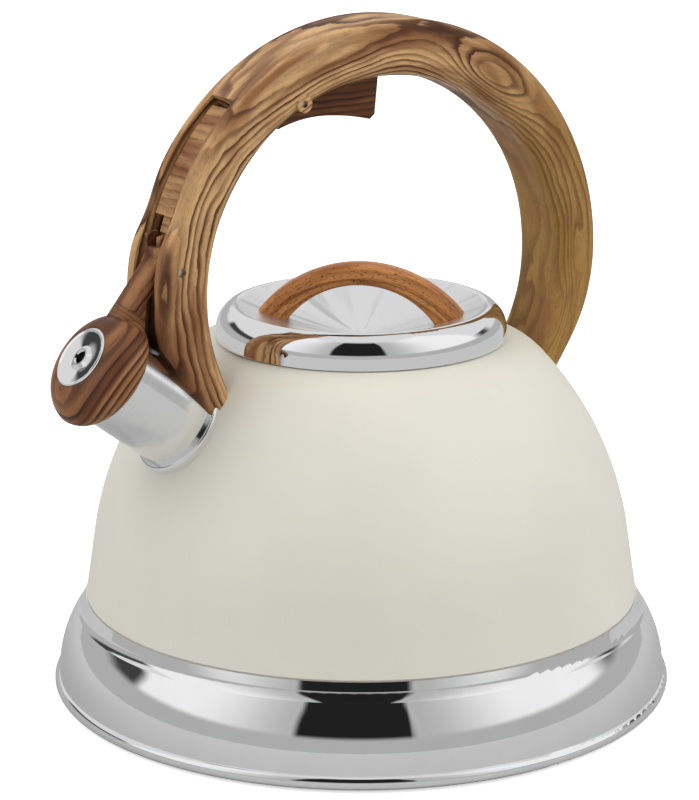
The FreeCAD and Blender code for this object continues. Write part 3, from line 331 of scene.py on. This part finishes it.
class Finish(Shader):
    """A material made round one Principled shader."""

    def __init__(self, name, **constants):
        self.material = bpy.data.materials.new(name)
        self.material.use_nodes = True
        super().__init__(self.material.node_tree)
        self.principled = self.tree.nodes["Principled BSDF"]
        for socket, value in constants.items():
            self.principled.inputs[socket.replace("_", " ")].default_value = value

    def feed(self, socket, value):
        """A varying value into one of the shader's sockets."""
        self.tree.links.new(value.socket, self.principled.inputs[socket])

    def relief(self, height):
        """Bumps of a height in millimetres."""
        self.feed("Normal", self.node("ShaderNodeBump", None, {
            "Height": height, "Distance": 1.0 / PER_METRE, "Strength": 1.0}, "Normal"))

    def cover(self, *nodes):
        """Puts the material on every slot of these nodes."""
        for name in nodes:
            for slot in frame["nodes"][name].material_slots:
                slot.material = self.material


# ---------------------------------------------------------------- wood-effect film


class Knot(NamedTuple):
    """A place where the grain bulges. Lengths in millimetres."""

    along: float
    across: float
    reach: float
    width: float
    push: float


class Figure(NamedTuple):
    """What sets one film's grain apart. Lengths in millimetres."""

    pith_across: float = -34.0
    pith_depth: float = 9.0
    drift: float = 9.0
    wobble: float = 1.5
    contrast: "float | Wire" = 1.0
    pores: float = 0.4
    pore_long: float = 1.9
    pore_wide: float = 0.2
    knots: tuple = ()
    tints: tuple = ()


def wood(finish, grain, look, figure):
    """Grain lines round a far pith, bent by slow drift and by knots."""
    along, across, depth = grain
    ring = finish.length(across - figure.pith_across, depth - figure.pith_depth)
    ring = ring + (finish.stretched(grain, long=46.0, wide=21.0) - 0.5) * figure.drift
    for knot in figure.knots:
        swell = (finish.bell(along, knot.along, knot.reach)
                 * finish.bell(across, knot.across, knot.width))
        ring = ring + swell * knot.push
    wobble = finish.stretched(grain, long=7.0, wide=2.6, detail=3.0)
    ring = ring + (wobble - 0.5) * figure.wobble

    # Each line darkens slowly and ends sharply, and some lines are fainter than others.
    turn = finish.maths("FRACT", ring / look.spacing)
    rise = finish.between(turn, 0.22, 0.86)
    fall = finish.between(turn, 0.88, 1.0, 1.0, 0.0)
    uneven = finish.noise(ring / (look.spacing * 1.7), along / 60.0, 0.0, 1.0)
    strength = finish.between(uneven, 0.3, 0.65, 0.3, 1.0)
    line = rise * fall * strength * figure.contrast

    spun_rays_and_painted_reflection = finish.stretched(grain, long=34.0, wide=5.5)
    fibre = finish.stretched(grain, long=5.0, wide=0.28, detail=3.0)
    fleck = finish.stretched(grain, figure.pore_long, figure.pore_wide, detail=1.0)
    pore = finish.between(fleck, 0.6, 0.7) * figure.pores

    body = finish.mix(finish.between(spun_rays_and_painted_reflection, 0.4, 0.68), look.light, look.tone)
    for amount, tint in figure.tints:
        body = finish.mix(amount, body, tint)
    body = finish.mix(line, body, look.line)
    body = finish.mix(pore, body, look.line)
    shade = finish.between(fibre, 0.25, 0.75, 0.86, 1.08)
    grey = finish.node("ShaderNodeCombineColor", None,
                       {"Red": shade, "Green": shade, "Blue": shade})
    finish.feed("Base Color", finish.mix(1.0, body, grey, "MULTIPLY"))
    finish.feed("Roughness", look.roughness + line * 0.08 + (fibre - 0.5) * 0.12)
    finish.relief(fibre * 0.012 - line * 0.05 - pore * 0.03)


def round_arch(finish, x, z, centre, radius):
    """Distance along an arch from its top, then out from its middle line, then the angle."""
    angle = finish.maths("ARCTAN2", x - centre[0], z - centre[1])
    reach = finish.length(x - centre[0], z - centre[1])
    return angle * radius, reach - radius, angle


# ---------------------------------------------------------------- operators


class KettlePiece:
    """What the operators share."""

    bl_options = {"REGISTER", "UNDO"}

    def execute(self, context):
        self.make(context.scene.kettle)
        return {"FINISHED"}


class KETTLE_OT_dome(KettlePiece, bpy.types.Operator):
    """Satin cream paint on the dome"""

    bl_idname = "kettle.dome"
    bl_label = "Paint the dome"

    def make(self, kettle):
        look = kettle.paint
        paint = Finish("cream_paint", Specular_IOR_Level=0.5)
        point = paint.place()
        patches = paint.cloud(point, 38.0)
        grit = paint.cloud(point, 0.7, 3.0)
        ripple = paint.cloud(point, 1.6, 1.0)
        paint.feed("Base Color", paint.mix(
            paint.between(patches, 0.3, 0.7), look.cream, shaded(look.cream, 0.965)))
        paint.feed("Roughness", look.roughness + (grit - 0.5) * 0.08)
        paint.relief(ripple * look.peel + grit * look.peel / 3)
        paint.cover("dome_shell")


class KETTLE_OT_polished(KettlePiece, bpy.types.Operator):
    """Mirror-polished steel on the skirt, the collar and the whistle's disc"""

    bl_idname = "kettle.polished"
    bl_label = "Polish the skirt and collar"

    def make(self, kettle):
        look = kettle.metal
        steel = Finish("mirror_steel", Metallic=1.0)
        x, y, z = point = steel.place()
        smear = steel.cloud(point, 16.0, 4.0)
        hair = steel.noise(x / 0.9, y / 0.9, z / 0.25, 3.0)
        wave = steel.cloud(point, 24.0, 1.0)
        steel.feed("Base Color", steel.mix(
            steel.between(smear, 0.35, 0.7), look.mirror_colour, shaded(look.mirror_colour, 0.97)))
        steel.feed("Roughness", look.mirror_roughness
                   + steel.between(smear, 0.45, 0.75, 0.0, 0.03)
                   + steel.between(hair, 0.6, 0.8, 0.0, 0.04))
        steel.relief(wave * look.mirror_wave)
        steel.cover("base_skirt", "spout_collar", "whistle_disc")


class KETTLE_OT_lid(KettlePiece, bpy.types.Operator):
    """Polished band and spun dish on the lid"""

    bl_idname = "kettle.lid"
    bl_label = "Finish the lid"

    def make(self, kettle):
        look = kettle.metal
        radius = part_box("lid_cover")[1].x * PER_METRE
        steel = Finish("lid_steel", Metallic=1.0, Anisotropic=0.75)
        x, y, _ = point = steel.place()
        reach = steel.length(x, y)
        low, high = (radius * share_of for share_of in DISH_EDGE)
        dish = steel.between(reach, low, high, 1.0, 0.0)

        def rays(count, detail):
            """Noise in rays from the dish's middle, more of them for a larger count."""
            away = reach + 0.5  # never zero
            return steel.noise(x / away * count, y / away * count, reach / 60.0, detail)

        spun_rays_and_painted_reflection = rays(5.0, 1.0)
        hair = rays(34.0, 2.0)
        wave = steel.cloud(point, 11.0, 1.0)
        # The darker rays mixed into the dish's colour are painted reflection: they stand in for
        # the dark wedges that a spun dish reflects. The same rays also vary the dish's roughness.
        steel.feed("Base Color", steel.mix(
            steel.between(spun_rays_and_painted_reflection, 0.5, 0.72) * dish * 0.7,
            look.mirror_colour, shaded(look.mirror_colour, 0.6)))
        spun = look.dish_roughness + (spun_rays_and_painted_reflection - 0.5) * 0.1 + (hair - 0.5) * 0.015
        steel.feed("Roughness", look.mirror_roughness + dish * spun)
        steel.relief(wave * look.mirror_wave * 1.5 + dish * hair * 0.0004)
        steel.cover("lid_cover")


class KETTLE_OT_spout(KettlePiece, bpy.types.Operator):
    """Satin steel on the spout, brushed round its axis"""

    bl_idname = "kettle.spout"
    bl_label = "Brush the spout"

    def make(self, kettle):
        look = kettle.metal
        seat = middle("spout_collar")
        run = middle("whistle_disc") - seat
        run.normalize()
        steel = Finish("brushed_steel", Metallic=1.0)
        x, y, z = steel.place()
        along = (x - seat.x) * run.x + (z - seat.z) * run.z
        up = (z - seat.z) * -run.x + (x - seat.x) * run.z
        hair = steel.noise(along / 0.14, up / 16.0, y / 16.0, 3.0)
        blur = steel.cloud((along, up, y), 7.0)
        steel.feed("Base Color", steel.mix(
            steel.between(hair, 0.3, 0.75),
            look.brushed_colour, shaded(look.brushed_colour, 0.88)))
        steel.feed("Roughness",
                   look.brushed_roughness + (hair - 0.5) * 0.12 + (blur - 0.5) * 0.06)
        steel.relief(hair * 0.004)
        steel.cover("spout_tube")


class KETTLE_OT_base(KettlePiece, bpy.types.Operator):
    """Turned steel and cast aluminium under the kettle"""

    bl_idname = "kettle.base"
    bl_label = "Finish the underside"

    def make(self, kettle):
        look = kettle.metal
        steel = Finish("turned_base_steel", Metallic=1.0, Anisotropic=0.6)
        x, y, z = point = steel.place()
        ring = steel.noise(steel.length(x, y) / 0.35, z / 40.0, 0.0, 3.0)
        stain = steel.cloud(point, 22.0, 3.0)
        steel.feed("Base Color", steel.mix(
            steel.between(ring, 0.3, 0.7),
            look.brushed_colour, shaded(look.brushed_colour, 0.82)))
        steel.feed("Roughness",
                   0.24 + (ring - 0.5) * 0.16 + steel.between(stain, 0.5, 0.8, 0.0, 0.08))
        steel.relief(ring * 0.01)
        steel.cover("base_plate")

        cast = Finish("spreader_aluminium", Metallic=1.0)
        skin = cast.cloud(cast.place(), 1.1, 4.0)
        cast.feed("Base Color", cast.mix(
            cast.between(skin, 0.3, 0.7), look.cast_colour, look.cast_shade))
        cast.feed("Roughness", 0.4 + (skin - 0.5) * 0.2)
        cast.relief(skin * 0.03)
        cast.cover("heat_spreader")


class KETTLE_OT_fittings(KettlePiece, bpy.types.Operator):
    """Rolled steel on the small parts and inside, and silicone on the seals"""

    bl_idname = "kettle.fittings"
    bl_label = "Finish the fittings"

    def make(self, kettle):
        look = kettle.metal
        steel = Finish("plain_steel", Metallic=1.0)
        x, y, z = point = steel.place()
        roll = steel.noise(x / 0.3, y / 7.0, z / 0.5, 3.0)
        dull = steel.cloud(point, 9.0, 3.0)
        steel.feed("Base Color", steel.mix(
            steel.between(dull, 0.35, 0.7), look.plain_colour, shaded(look.plain_colour, 0.8)))
        steel.feed("Roughness",
                   look.plain_roughness + (roll - 0.5) * 0.14 + (dull - 0.5) * 0.1)
        steel.relief(roll * 0.006)
        steel.cover("floor_pan", "front_bracket", "rear_bracket", "handle_screws", "lever_pin",
                    "trigger_pin", "return_spring", "whistle_cup", "whistle_plate",
                    "lid_plug", "lid_screws")

        rubber = Finish("silicone", Specular_IOR_Level=0.4)
        bloom = rubber.cloud(rubber.place(), 0.35, 3.0)
        rubber.feed("Base Color", rubber.mix(
            rubber.between(bloom, 0.3, 0.8),
            look.silicone_colour, shaded(look.silicone_colour, 1.6)))
        rubber.feed("Roughness", 0.62 + (bloom - 0.5) * 0.2)
        rubber.relief(bloom * 0.01)
        rubber.cover("cap_seal", "lid_washers")


class KETTLE_OT_handle(KettlePiece, bpy.types.Operator):
    """Long grain that follows the handle round its knots"""

    bl_idname = "kettle.handle"
    bl_label = "Grain the handle"

    def make(self, kettle):
        look = kettle.grip
        centre, radius = grip_arch()
        film = Finish("grip_wood", Specular_IOR_Level=FILM_SPECULAR)
        x, y, z = film.place()
        along, across, angle = round_arch(film, x, z, centre, radius)
        rear = film.between(angle, *REAR_LEG)
        foot = (film.between(angle, *FRONT_FOOT, 1.0, 0.0)
                * film.between(across, -3.0, 6.0, 0.25, 1.0))
        patch = film.noise(along / 26.0, across / 9.0, y / 12.0, 3.0)
        wood(film, (along, across, y), look, Figure(
            contrast=1.0 - rear * 0.45,
            tints=(
                (rear * 0.85, look.olive),
                (film.between(patch, 0.5, 0.68) * 0.6, look.rose),
                (foot * 0.75, look.rust),
            ),
            knots=(
                Knot(along=radius * 0.58, across=1.0, reach=22.0, width=8.0, push=16.0),
                Knot(along=radius * 1.55, across=3.0, reach=13.0, width=3.0, push=5.0),
                Knot(along=radius * 1.85, across=-1.0, reach=12.0, width=2.5, push=-5.0),
                Knot(along=radius * -0.35, across=4.0, reach=34.0, width=9.0, push=7.0),
            )))
        film.cover("handle")


class KETTLE_OT_rod(KettlePiece, bpy.types.Operator):
    """Grain across the push rod"""

    bl_idname = "kettle.rod"
    bl_label = "Grain the push rod"

    def make(self, kettle):
        look = kettle.grip
        centre, radius = grip_arch()
        film = Finish("rod_wood", Specular_IOR_Level=FILM_SPECULAR)
        x, y, z = film.place()
        along, across, _ = round_arch(film, x, z, centre, radius)
        wood(film, (y, along, across), look, Figure(
            pith_across=-180.0, pith_depth=0.0, drift=5.0, wobble=1.6,
            contrast=0.55, tints=((0.4, look.rose),)))
        film.cover("push_rod")


class KETTLE_OT_trigger(KettlePiece, bpy.types.Operator):
    """Dark stripes along the trigger"""

    bl_idname = "kettle.trigger"
    bl_label = "Grain the trigger"

    def make(self, kettle):
        film = Finish("trigger_wood", Specular_IOR_Level=FILM_SPECULAR)
        x, y, z = film.place()
        wood(film, (x, z - middle("trigger").z, y), kettle.trigger, Figure(
            pith_across=-60.0, pith_depth=6.0, drift=4.0, wobble=1.0))
        film.cover("trigger")


class KETTLE_OT_cap(KettlePiece, bpy.types.Operator):
    """Curved grain round the whistle cap and straight grain along its lever"""

    bl_idname = "kettle.cap"
    bl_label = "Grain the whistle cap"

    def make(self, kettle):
        ball = middle("cap_seal").lerp(middle("whistle_disc"), 0.5)
        arm = joint_place("cap_swing") - ball
        arm.normalize()
        film = Finish("cap_wood", Specular_IOR_Level=FILM_SPECULAR)
        x, y, z = film.place()
        along = (x - ball.x) * arm.x + (z - ball.z) * arm.z
        across = (x - ball.x) * arm.z - (z - ball.z) * arm.x
        lever = film.between(along, 17.0, 22.0)  # the lever starts where the ball ends
        pith_x, pith_z = ball.x + 26.0, ball.z - 24.0  # the ball's grain curves round this
        round_ball = film.length(x - pith_x, z - pith_z)
        grain = (y * (1.0 - lever) + along * lever,
                 lever * across + (1.0 - lever) * round_ball,
                 y * lever)
        wood(film, grain, kettle.cap, Figure(pith_across=-90.0, pith_depth=0.0, drift=6.0))
        film.cover("cap_lever")


class KETTLE_OT_arch(KettlePiece, bpy.types.Operator):
    """Fine flecks along the lid's arch"""

    bl_idname = "kettle.arch"
    bl_label = "Grain the lid's arch"

    def make(self, kettle):
        low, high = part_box("lid_handle")
        half_x, half_y = high.x * PER_METRE, high.y * PER_METRE
        vertices = frame["nodes"]["lid_handle"].data.vertices
        slant = sum(vertex.co.x * vertex.co.y for vertex in vertices)
        turn = math.copysign(math.atan2(half_y, half_x), slant)
        ends = math.hypot(half_x, half_y)
        drop = (high.z - low.z) * PER_METRE
        radius = (ends * ends + drop * drop) / (2 * drop)
        film = Finish("arch_wood", Specular_IOR_Level=FILM_SPECULAR)
        x, y, z = film.place()
        run = x * math.cos(turn) + y * math.sin(turn)
        side = y * math.cos(turn) - x * math.sin(turn)
        centre = (0.0, top("lid_handle") - radius)
        along, across, _ = round_arch(film, run, z, centre, radius)
        wood(film, (along, across, side), kettle.arch, Figure(
            pith_across=-16.0, pith_depth=5.0, drift=3.0, wobble=0.8,
            contrast=0.5, pores=0.8, pore_long=1.5, pore_wide=0.42))
        film.cover("lid_handle")


# The studio's spans lie round the kettle: from, to and softness of the ends, in degrees from
# the camera's side, to its right when positive.
GAP = (-25.0, 20.0, 2.0)
PANELS = ((20.0, 104.0, 3.0), (-95.0, -25.0, 3.0))
FLAGS = ((-139.0, -95.0, 4.0), (110.0, 126.0, 7.0))
FLAG_TOP = (0.36, 0.42)  # the flags end between these heights, as sines
FLAG_DARKNESS = 0.93
FALLOFF = (20.0, 70.0)  # the panels gain strength between these angles, in degrees
OVERHEAD = (0.9, 0.96)  # the light overhead begins between these heights, as sines
SWEEP_EDGE = 0.045  # half the softness of the sweep's upper edge, as a sine
FLOOR_REACH = 12.0  # metres
FLOOR_DROP = 0.0002  # keeps the floor clear of the rest face, in metres
SENSOR_WIDTH = 36.0  # mm
WHITE = (1.0, 1.0, 1.0, 1.0)
PALE_FLOOR = (0.8, 0.8, 0.8, 1.0)


class KETTLE_OT_studio(KettlePiece, bpy.types.Operator):
    """Pale floor, soft panels and the camera"""

    bl_idname = "kettle.studio"
    bl_label = "Set the studio"

    def make(self, kettle):
        look = kettle.studio
        self.floor(look)
        self.light(look)
        self.camera(look)

    def floor(self, look):
        """A floor that the camera sees as white and the polished steel as grey."""
        corners = [(-FLOOR_REACH, -FLOOR_REACH, 0), (FLOOR_REACH, -FLOOR_REACH, 0),
                   (FLOOR_REACH, FLOOR_REACH, 0), (-FLOOR_REACH, FLOOR_REACH, 0)]
        mesh = bpy.data.meshes.new("floor")
        mesh.from_pydata(corners, [], [(0, 1, 2, 3)])
        floor = bpy.data.objects.new("floor", mesh)
        floor.location.z = CAD_BOX[0].z - FLOOR_DROP
        bpy.context.collection.objects.link(floor)
        material = bpy.data.materials.new("floor")
        material.use_nodes = True
        shader = Shader(material.node_tree)
        shader.tree.nodes.clear()
        camera_ray = shader.node("ShaderNodeLightPath", output="Is Camera Ray")
        grey = shader.node("ShaderNodeBsdfDiffuse", None,
                           {"Color": (look.floor, look.floor, look.floor, 1.0)})
        pale = shader.node("ShaderNodeBsdfDiffuse", None, {"Color": PALE_FLOOR})
        glow = shader.node("ShaderNodeEmission", None, {"Color": WHITE, "Strength": look.glow})
        lit = shader.node("ShaderNodeAddShader", None, {0: pale, 1: glow})
        both = shader.node("ShaderNodeMixShader", None, {0: camera_ray, 1: grey, 2: lit})
        shader.end("ShaderNodeOutputMaterial", both)
        mesh.materials.append(material)

    def light(self, look):
        """A pale room with two soft panels, a dark gap between them and dark flags outside."""
        world = bpy.data.worlds.new("studio")
        world.use_nodes = True
        bpy.context.scene.world = world
        shader = Shader(world.node_tree)
        shader.tree.nodes.clear()
        way = shader.node("ShaderNodeTexCoord", output="Generated")
        x = shader.node("ShaderNodeSeparateXYZ", None, {"Vector": way}, "X")
        y, z = x.output("Y"), x.output("Z")
        turn = look.azimuth
        ahead = x * math.sin(turn) - y * math.cos(turn)
        right = x * math.cos(turn) + y * math.sin(turn)
        angle = shader.maths("ARCTAN2", right, ahead) * (180.0 / math.pi)

        def span(low, high, edge):
            return (shader.between(angle, low - edge, low + edge)
                    * shader.between(angle, high - edge, high + edge, 1.0, 0.0))

        camera_ray = shader.node("ShaderNodeLightPath", output="Is Camera Ray")
        glossy_ray = camera_ray.output("Is Glossy Ray")
        panel = look.panel + glossy_ray * (look.seen - look.panel)
        falloff = shader.between(shader.maths("ABSOLUTE", angle), *FALLOFF, 0.5, 1.0)
        panels = span(*PANELS[0]) + span(*PANELS[1])
        strength = look.room + panels * (panel * falloff - look.room)
        strength = strength * (1.0 - span(*GAP) * (1.0 - look.dark / look.room))
        flags = span(*FLAGS[0]) + span(*FLAGS[1])
        strength = strength * (1.0 - flags * shader.between(z, *FLAG_TOP, FLAG_DARKNESS, 0.0))
        height = math.sin(math.radians(look.sweep_top))
        above = shader.between(z, height - SWEEP_EDGE, height + SWEEP_EDGE)
        strength = strength * above + (1.0 - above) * look.sweep
        overhead = shader.between(z, *OVERHEAD)
        strength = strength * (1.0 - overhead) + overhead * look.ceiling
        strength = strength * (1.0 - camera_ray) + camera_ray
        lit = shader.node("ShaderNodeBackground", None, {"Color": WHITE, "Strength": strength})
        shader.end("ShaderNodeOutputWorld", lit)

    def camera(self, look):
        """A long lens a little above the kettle, aimed near its middle."""
        back = Vector((math.sin(look.azimuth) * math.cos(look.elevation),
                       -math.cos(look.azimuth) * math.cos(look.elevation),
                       math.sin(look.elevation)))
        data = bpy.data.cameras.new("camera")
        data.lens = look.lens
        data.sensor_width = SENSOR_WIDTH
        data.shift_x = look.shift
        camera = bpy.data.objects.new("camera", data)
        camera.location = Vector((0.0, 0.0, look.aim)) + back * look.distance
        camera.rotation_mode = "QUATERNION"
        camera.rotation_quaternion = (-back).to_track_quat("-Z", "Y")
        bpy.context.collection.objects.link(camera)
        bpy.context.scene.camera = camera
        bpy.context.scene.view_settings.view_transform = "Standard"


class KettleSettings(bpy.types.PropertyGroup):
    """All the kettle's settings."""

    paint: bpy.props.PointerProperty(type=KettlePaint)
    metal: bpy.props.PointerProperty(type=KettleMetal)
    grip: bpy.props.PointerProperty(type=KettleGripWood)
    trigger: bpy.props.PointerProperty(type=KettleTriggerWood)
    cap: bpy.props.PointerProperty(type=KettleCapWood)
    arch: bpy.props.PointerProperty(type=KettleArchWood)
    studio: bpy.props.PointerProperty(type=KettleStudio)


PIECES = (KETTLE_OT_dome, KETTLE_OT_polished, KETTLE_OT_lid, KETTLE_OT_spout, KETTLE_OT_base,
          KETTLE_OT_fittings, KETTLE_OT_handle, KETTLE_OT_rod, KETTLE_OT_trigger, KETTLE_OT_cap,
          KETTLE_OT_arch, KETTLE_OT_studio)


class KETTLE_PT_pieces(bpy.types.Panel):
    """The kettle's finishes, one button each"""

    bl_idname = "KETTLE_PT_pieces"
    bl_label = "Kettle"
    bl_space_type = "VIEW_3D"
    bl_region_type = "UI"
    bl_category = "Kettle"

    def draw(self, context):
        for piece in PIECES:
            self.layout.operator(piece.bl_idname)
        kettle = context.scene.kettle
        for group in (kettle.paint, kettle.metal, kettle.grip, kettle.trigger, kettle.cap,
                      kettle.arch, kettle.studio):
            box = self.layout.box()
            for name in group.__annotations__:
                box.prop(group, name)


CLASSES = (KettlePaint, KettleMetal, KettleGripWood, KettleTriggerWood, KettleCapWood,
           KettleArchWood, KettleStudio, KettleSettings, *PIECES, KETTLE_PT_pieces)


def register():
    for item in CLASSES:
        bpy.utils.register_class(item)
    bpy.types.Scene.kettle = bpy.props.PointerProperty(type=KettleSettings)


def unregister():
    del bpy.types.Scene.kettle
    for item in reversed(CLASSES):
        bpy.utils.unregister_class(item)


def main():
    """Runs every operator."""
    register()
    for piece in PIECES:
        group, name = piece.bl_idname.split(".")
        getattr(getattr(bpy.ops, group), name)()


if __name__ == "__main__":
    main()
